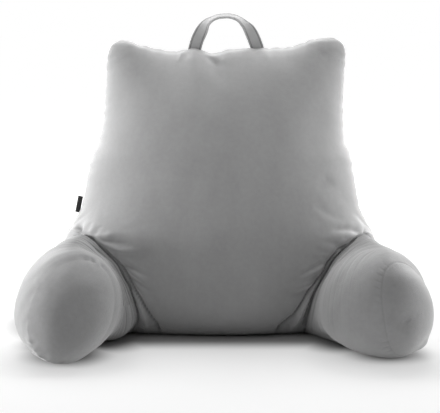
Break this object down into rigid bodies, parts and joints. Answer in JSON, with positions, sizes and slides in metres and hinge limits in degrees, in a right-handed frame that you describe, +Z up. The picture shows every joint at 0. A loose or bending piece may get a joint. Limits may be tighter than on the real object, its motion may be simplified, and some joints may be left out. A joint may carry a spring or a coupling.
{
  "type": "book rest pillow",
  "caption": "Upright bed-rest reading pillow: a wedge back cushion with ear corners, bolster arms reaching forward, a strap handle in the top seam and a blank side label.",
  "frame": {"origin": "under the middle of the pillow's box, on the surface that it stands on", "axes": "+X to the right of someone who looks at the front, +Y from the arms' ends towards the rear panel, +Z up"},
  "size_m": [0.6752, 0.4536, 0.5368],
  "materials": {
    "velour": "short brushed pile, matte with a soft sheen",
    "label_cloth": "plain fine-woven tape"
  },
  "bodies": {
    "root": {"back": "velour", "arm_left": "velour", "arm_right": "velour", "handle": "velour", "label": "label_cloth"}
  },
  "joints": []
}
